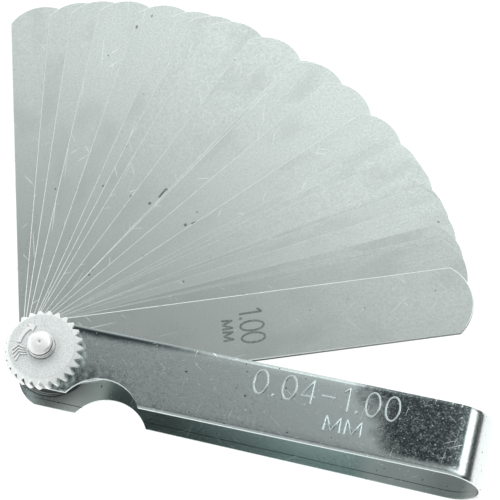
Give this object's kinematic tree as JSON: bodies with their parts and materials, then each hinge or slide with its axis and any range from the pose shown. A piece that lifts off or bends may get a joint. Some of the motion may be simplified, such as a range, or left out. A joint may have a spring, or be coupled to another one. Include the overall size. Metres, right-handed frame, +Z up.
{
  "type": "feeler gauge",
  "caption": "Folding feeler gauge: flat steel blades fanned out of a folded sheet steel case on a threaded pivot with a knurled lock nut.",
  "frame": {"origin": "on the pivot screw's axis at the underside of its head, the plane the tool rests on", "axes": "+Z up the pivot screw to the lock nut, +X along the case from the pivot to its bend, blades fanned over the +Y side"},
  "size_m": [0.1094, 0.0841, 0.0201],
  "materials": {
    "case_nickel": "worn bright nickel plate",
    "blade_steel": "ground lengthwise, satin",
    "screw_steel": "bright turned steel",
    "nut_satin": "blasted satin plate with bright knurl tips"
  },
  "bodies": {
    "case_body": {"case": "case_nickel", "pivot_screw": "screw_steel"},
    "blade_1_00_body": {"blade_1_00": "blade_steel"},
    "blade_0_04_body": {"blade_0_04": "blade_steel"},
    "blade_0_05_body": {"blade_0_05": "blade_steel"},
    "blade_0_06_body": {"blade_0_06": "blade_steel"},
    "blade_0_07_body": {"blade_0_07": "blade_steel"},
    "blade_0_08_body": {"blade_0_08": "blade_steel"},
    "blade_0_09_body": {"blade_0_09": "blade_steel"},
    "blade_0_10_body": {"blade_0_10": "blade_steel"},
    "blade_0_15_body": {"blade_0_15": "blade_steel"},
    "blade_0_20_body": {"blade_0_20": "blade_steel"},
    "blade_0_25_body": {"blade_0_25": "blade_steel"},
    "blade_0_30_body": {"blade_0_30": "blade_steel"},
    "blade_0_35_body": {"blade_0_35": "blade_steel"},
    "blade_0_40_body": {"blade_0_40": "blade_steel"},
    "blade_0_45_body": {"blade_0_45": "blade_steel"},
    "blade_0_50_body": {"blade_0_50": "blade_steel"},
    "blade_0_55_body": {"blade_0_55": "blade_steel"},
    "blade_0_60_body": {"blade_0_60": "blade_steel"},
    "blade_0_65_body": {"blade_0_65": "blade_steel"},
    "blade_0_70_body": {"blade_0_70": "blade_steel"},
    "blade_0_75_body": {"blade_0_75": "blade_steel"},
    "blade_0_80_body": {"blade_0_80": "blade_steel"},
    "blade_0_85_body": {"blade_0_85": "blade_steel"},
    "blade_0_90_body": {"blade_0_90": "blade_steel"},
    "blade_0_95_body": {"blade_0_95": "blade_steel"},
    "nut_body": {"lock_nut": "nut_satin"}
  },
  "joints": [
    {"name": "blade_turn_1_00", "type": "hinge", "parent": "case_body", "child": "blade_1_00_body", "pos_m": [0, 0, 0.01], "axis": [0, 0, 1], "range_deg": [-20.5, 159.5]},
    {"name": "blade_turn_0_04", "type": "hinge", "parent": "case_body", "child": "blade_0_04_body", "pos_m": [0, 0, 0.01], "axis": [0, 0, 1], "range_deg": [-25, 155]},
    {"name": "blade_turn_0_05", "type": "hinge", "parent": "case_body", "child": "blade_0_05_body", "pos_m": [0, 0, 0.01], "axis": [0, 0, 1], "range_deg": [-25.4, 154.6]},
    {"name": "blade_turn_0_06", "type": "hinge", "parent": "case_body", "child": "blade_0_06_body", "pos_m": [0, 0, 0.01], "axis": [0, 0, 1], "range_deg": [-25.9, 154.1]},
    {"name": "blade_turn_0_07", "type": "hinge", "parent": "case_body", "child": "blade_0_07_body", "pos_m": [0, 0, 0.01], "axis": [0, 0, 1], "range_deg": [-27.6, 152.4]},
    {"name": "blade_turn_0_08", "type": "hinge", "parent": "case_body", "child": "blade_0_08_body", "pos_m": [0, 0, 0.01], "axis": [0, 0, 1], "range_deg": [-31.2, 148.8]},
    {"name": "blade_turn_0_09", "type": "hinge", "parent": "case_body", "child": "blade_0_09_body", "pos_m": [0, 0, 0.01], "axis": [0, 0, 1], "range_deg": [-33.9, 146.1]},
    {"name": "blade_turn_0_10", "type": "hinge", "parent": "case_body", "child": "blade_0_10_body", "pos_m": [0, 0, 0.01], "axis": [0, 0, 1], "range_deg": [-34.8, 145.2]},
    {"name": "blade_turn_0_15", "type": "hinge", "parent": "case_body", "child": "blade_0_15_body", "pos_m": [0, 0, 0.01], "axis": [0, 0, 1], "range_deg": [-35.3, 144.7]},
    {"name": "blade_turn_0_20", "type": "hinge", "parent": "case_body", "child": "blade_0_20_body", "pos_m": [0, 0, 0.01], "axis": [0, 0, 1], "range_deg": [-39.9, 140.1]},
    {"name": "blade_turn_0_25", "type": "hinge", "parent": "case_body", "child": "blade_0_25_body", "pos_m": [0, 0, 0.01], "axis": [0, 0, 1], "range_deg": [-41.4, 138.6]},
    {"name": "blade_turn_0_30", "type": "hinge", "parent": "case_body", "child": "blade_0_30_body", "pos_m": [0, 0, 0.01], "axis": [0, 0, 1], "range_deg": [-43.3, 136.7]},
    {"name": "blade_turn_0_35", "type": "hinge", "parent": "case_body", "child": "blade_0_35_body", "pos_m": [0, 0, 0.01], "axis": [0, 0, 1], "range_deg": [-48.6, 131.4]},
    {"name": "blade_turn_0_40", "type": "hinge", "parent": "case_body", "child": "blade_0_40_body", "pos_m": [0, 0, 0.01], "axis": [0, 0, 1], "range_deg": [-56, 124]},
    {"name": "blade_turn_0_45", "type": "hinge", "parent": "case_body", "child": "blade_0_45_body", "pos_m": [0, 0, 0.01], "axis": [0, 0, 1], "range_deg": [-61.5, 118.5]},
    {"name": "blade_turn_0_50", "type": "hinge", "parent": "case_body", "child": "blade_0_50_body", "pos_m": [0, 0, 0.01], "axis": [0, 0, 1], "range_deg": [-62.3, 117.7]},
    {"name": "blade_turn_0_55", "type": "hinge", "parent": "case_body", "child": "blade_0_55_body", "pos_m": [0, 0, 0.01], "axis": [0, 0, 1], "range_deg": [-69.9, 110.1]},
    {"name": "blade_turn_0_60", "type": "hinge", "parent": "case_body", "child": "blade_0_60_body", "pos_m": [0, 0, 0.01], "axis": [0, 0, 1], "range_deg": [-76.3, 103.7]},
    {"name": "blade_turn_0_65", "type": "hinge", "parent": "case_body", "child": "blade_0_65_body", "pos_m": [0, 0, 0.01], "axis": [0, 0, 1], "range_deg": [-79.6, 100.4]},
    {"name": "blade_turn_0_70", "type": "hinge", "parent": "case_body", "child": "blade_0_70_body", "pos_m": [0, 0, 0.01], "axis": [0, 0, 1], "range_deg": [-82.8, 97.2]},
    {"name": "blade_turn_0_75", "type": "hinge", "parent": "case_body", "child": "blade_0_75_body", "pos_m": [0, 0, 0.01], "axis": [0, 0, 1], "range_deg": [-88, 92]},
    {"name": "blade_turn_0_80", "type": "hinge", "parent": "case_body", "child": "blade_0_80_body", "pos_m": [0, 0, 0.01], "axis": [0, 0, 1], "range_deg": [-94.1, 85.9]},
    {"name": "blade_turn_0_85", "type": "hinge", "parent": "case_body", "child": "blade_0_85_body", "pos_m": [0, 0, 0.01], "axis": [0, 0, 1], "range_deg": [-98.4, 81.6]},
    {"name": "blade_turn_0_90", "type": "hinge", "parent": "case_body", "child": "blade_0_90_body", "pos_m": [0, 0, 0.01], "axis": [0, 0, 1], "range_deg": [-101.9, 78.1]},
    {"name": "blade_turn_0_95", "type": "hinge", "parent": "case_body", "child": "blade_0_95_body", "pos_m": [0, 0, 0.01], "axis": [0, 0, 1], "range_deg": [-107.9, 72.1]},
    {"name": "nut_turn", "type": "hinge", "parent": "case_body", "child": "nut_body", "pos_m": [0, 0, 0.016], "axis": [0, 0, 1], "range_deg": [0, 1110]}
  ]
}
